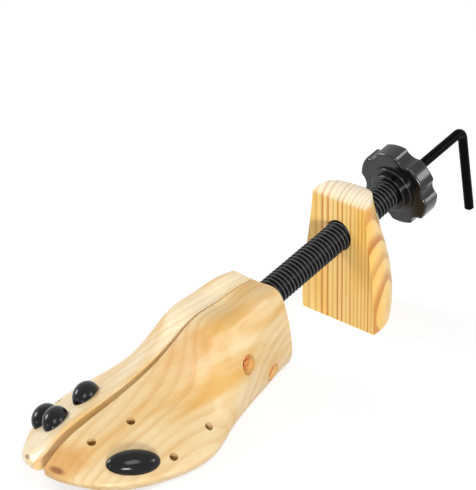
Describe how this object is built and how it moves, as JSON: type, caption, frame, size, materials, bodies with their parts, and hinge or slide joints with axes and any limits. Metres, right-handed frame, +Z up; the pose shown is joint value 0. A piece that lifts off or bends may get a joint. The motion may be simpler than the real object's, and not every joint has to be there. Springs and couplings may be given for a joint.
{
  "type": "shoe stretcher",
  "caption": "Wooden two-way shoe stretcher: a split forepart that a hook spindle spreads, a heel block driven along a threaded tube by a lobed knob, and bunion plugs.",
  "frame": {"origin": "middle of the heel block's flat foot", "axes": "+Z up, -Y towards the toe, +Y towards the hook, +X the wearer's left"},
  "size_m": [0.0948, 0.3409, 0.0867],
  "materials": {
    "forepart_wood": "clear satin pine, grain along the length",
    "heel_wood": "clear satin pine, grain upright",
    "zinc_steel": "zinc-plated",
    "brass_screw": "brassed steel",
    "brass_nut": "turned brass",
    "cam_plastic": "moulded",
    "plug_plastic": "gloss black",
    "tube_black": "black semi-gloss thread",
    "knob_plastic": "moulded satin black",
    "hook_black": "black satin"
  },
  "bodies": {
    "hinge_hub": {"barrel": "zinc_steel", "upper_pin": "zinc_steel", "lower_pin": "zinc_steel"},
    "left_forepart": {"left_half": "forepart_wood", "left_leaf": "zinc_steel", "left_front_screw": "brass_screw", "left_rear_screw": "brass_screw", "left_cam_block": "cam_plastic"},
    "right_forepart": {"right_half": "forepart_wood", "right_leaf": "zinc_steel", "right_front_screw": "brass_screw", "right_rear_screw": "brass_screw", "right_cam_block": "cam_plastic"},
    "screw_tube": {"tube": "tube_black", "thrust_washer": "zinc_steel", "neck_clip": "zinc_steel", "knob": "knob_plastic", "grub_screw": "hook_black"},
    "hook_spindle": {"spindle": "hook_black", "front_collar": "zinc_steel", "rear_collar": "hook_black"},
    "spreader_nut": {"spreader": "brass_nut"},
    "heel": {"heel_block": "heel_wood", "heel_nut": "zinc_steel", "upper_nut_screw": "brass_screw", "lower_nut_screw": "brass_screw"},
    "left_side_plug": {"left_side_plug": "plug_plastic"},
    "right_front_plug": {"right_front_plug": "plug_plastic"},
    "right_rear_plug": {"right_rear_plug": "plug_plastic"},
    "right_side_plug": {"right_side_plug": "plug_plastic"}
  },
  "joints": [
    {"name": "knob_turn", "type": "hinge", "parent": "hinge_hub", "child": "screw_tube", "pos_m": [0, -0.08014, 0.03754], "axis": [0, 0.9751, 0.2215], "range_deg": [-1938.46, 6646.15]},
    {"name": "heel_slide", "type": "slide", "parent": "hinge_hub", "child": "heel", "axis": [0, 0.9751, 0.2215], "range_m": [-0.0485, 0.0145]},
    {"name": "hook_turn", "type": "hinge", "parent": "hinge_hub", "child": "hook_spindle", "pos_m": [0, -0.08014, 0.03754], "axis": [0, 0.9751, 0.2215], "range_deg": [-650, 1460]},
    {"name": "spreader_slide", "type": "slide", "parent": "hinge_hub", "child": "spreader_nut", "axis": [0, -0.9751, -0.2215], "range_m": [-0.00371, 0.00821]},
    {"name": "left_open", "type": "hinge", "parent": "hinge_hub", "child": "left_forepart", "pos_m": [0, -0.08941, 0.03543], "axis": [0, -0.2215, 0.9751], "range_deg": [-1.3, 2.9]},
    {"name": "right_open", "type": "hinge", "parent": "hinge_hub", "child": "right_forepart", "pos_m": [0, -0.08941, 0.03543], "axis": [0, 0.2215, -0.9751], "range_deg": [-1.3, 2.9]},
    {"name": "left_side_plug_pull", "type": "slide", "parent": "left_forepart", "child": "left_side_plug", "axis": [0.4326, -0.127, 0.8926], "range_m": [0, 0.01]},
    {"name": "right_front_plug_pull", "type": "slide", "parent": "right_forepart", "child": "right_front_plug", "axis": [-0.4254, -0.2094, 0.8805], "range_m": [0, 0.01]},
    {"name": "right_rear_plug_pull", "type": "slide", "parent": "right_forepart", "child": "right_rear_plug", "axis": [-0.4085, -0.1696, 0.8969], "range_m": [0, 0.01]},
    {"name": "right_side_plug_pull", "type": "slide", "parent": "right_forepart", "child": "right_side_plug", "axis": [-0.5147, -0.2019, 0.8332], "range_m": [0, 0.01]}
  ],
  "couplings": [
    {"joint": "heel_slide", "follows": "knob_turn", "m_per_rad": -0.0004138},
    {"joint": "spreader_slide", "follows": "hook_turn", "m_per_rad": 0.00031831},
    {"joint": "left_open", "follows": "hook_turn", "ratio": 0.0019722},
    {"joint": "right_open", "follows": "hook_turn", "ratio": 0.0019722}
  ]
}
